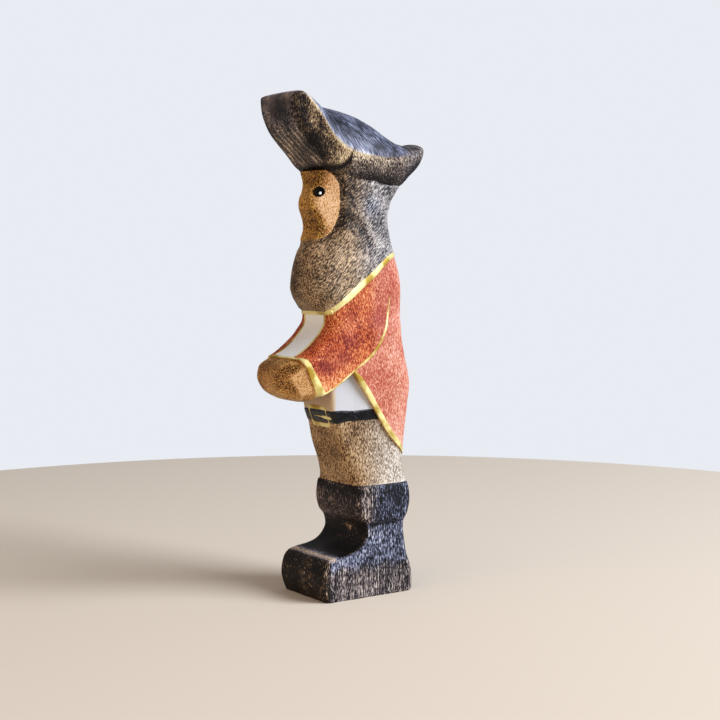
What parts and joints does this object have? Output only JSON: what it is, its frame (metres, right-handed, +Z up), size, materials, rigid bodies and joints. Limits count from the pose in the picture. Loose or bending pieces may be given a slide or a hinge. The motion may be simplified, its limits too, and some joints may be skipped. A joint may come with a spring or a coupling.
{
  "type": "toy pirate figure",
  "caption": "Standing wooden toy pirate, carved and stained: turned-up hat, long beard, red coat with gold trim, belt, breeches and heavy boots; stands on its flat sole for pretend play.",
  "frame": {"origin": "middle of the flat sole, on the surface the figure stands on", "axes": "+Z up along the figure's height, -Y the way the figure looks, +X towards the figure's left hand, across the board's thickness"},
  "size_m": [0.0226, 0.0472, 0.1364],
  "materials": {
    "black_stained_wood": "dark stain, oiled, worn pale on the edges",
    "brown_stained_wood": "grey-brown stain, oiled",
    "tan_stained_wood": "thin tan stain, oiled",
    "face_stained_wood": "orange-brown stain, oiled",
    "hand_stained_wood": "brown stain, oiled",
    "red_stained_wood": "red stain, oiled",
    "white_painted_wood": "white paint on wood",
    "gold_paint": "brushed-on gold-yellow acrylic paint",
    "black_paint": "glossy black acrylic paint"
  },
  "bodies": {
    "root": {"boots": "black_stained_wood", "boot_cuffs": "black_stained_wood", "breeches": "tan_stained_wood", "shirt_waist": "white_painted_wood", "coat": "red_stained_wood", "shirt_front": "white_painted_wood", "left_sleeve": "red_stained_wood", "right_sleeve": "red_stained_wood", "hands": "hand_stained_wood", "hair_and_beard": "brown_stained_wood", "face": "face_stained_wood", "hat": "black_stained_wood", "collar_trim": "gold_paint", "cuff_trim": "gold_paint", "hem_trim": "gold_paint", "left_sleeve_trim": "gold_paint", "left_chest_trim": "gold_paint", "right_sleeve_trim": "gold_paint", "right_chest_trim": "gold_paint", "belt": "black_paint", "belt_buckle": "gold_paint", "left_eye": "black_paint", "right_eye": "black_paint"}
  },
  "joints": []
}
